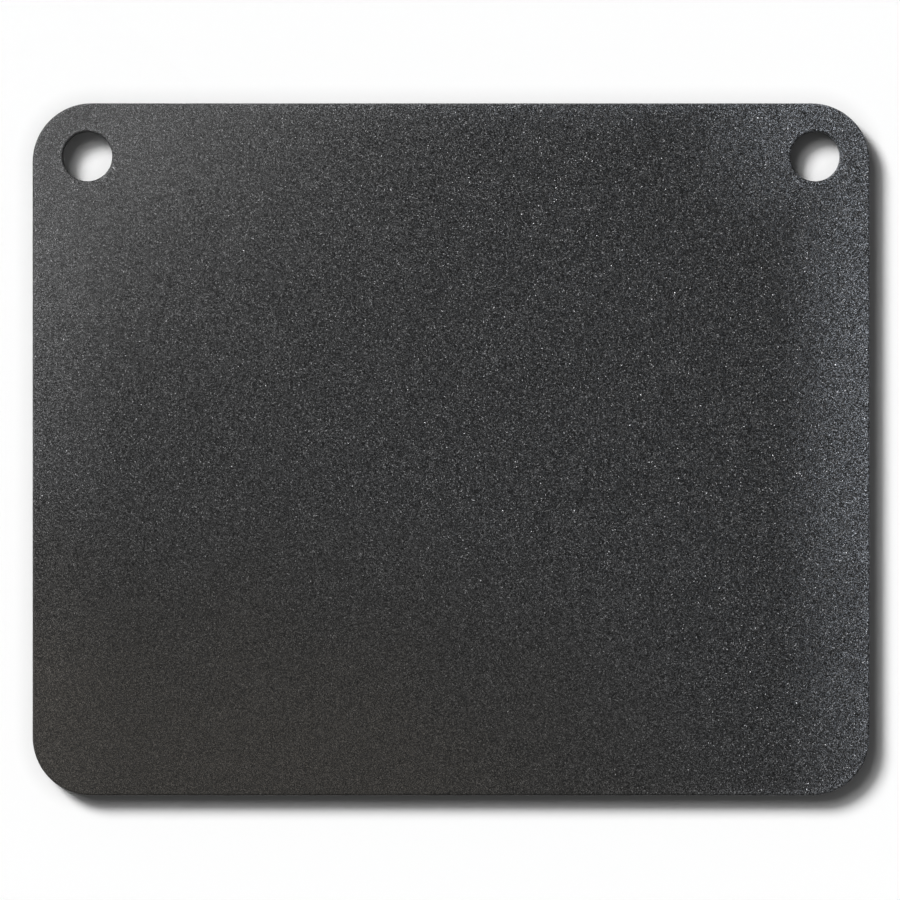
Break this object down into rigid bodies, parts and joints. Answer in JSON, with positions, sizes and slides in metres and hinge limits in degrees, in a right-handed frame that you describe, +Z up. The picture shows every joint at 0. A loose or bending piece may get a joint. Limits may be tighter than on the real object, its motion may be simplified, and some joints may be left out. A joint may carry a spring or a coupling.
{
  "type": "pizza steel",
  "caption": "Flat, thick rectangular steel plate with rounded corners and finger holes through its back corners, for baking pizza on an oven shelf.",
  "frame": {"origin": "under the middle of the plate, on its underside", "axes": "+X along the long side, +Y towards the back edge, where the finger holes are, +Z up out of the baking face"},
  "size_m": [0.4064, 0.336, 0.0095],
  "materials": {
    "seasoned_steel": "matte"
  },
  "bodies": {
    "root": {"baking_plate": "seasoned_steel"}
  },
  "joints": []
}
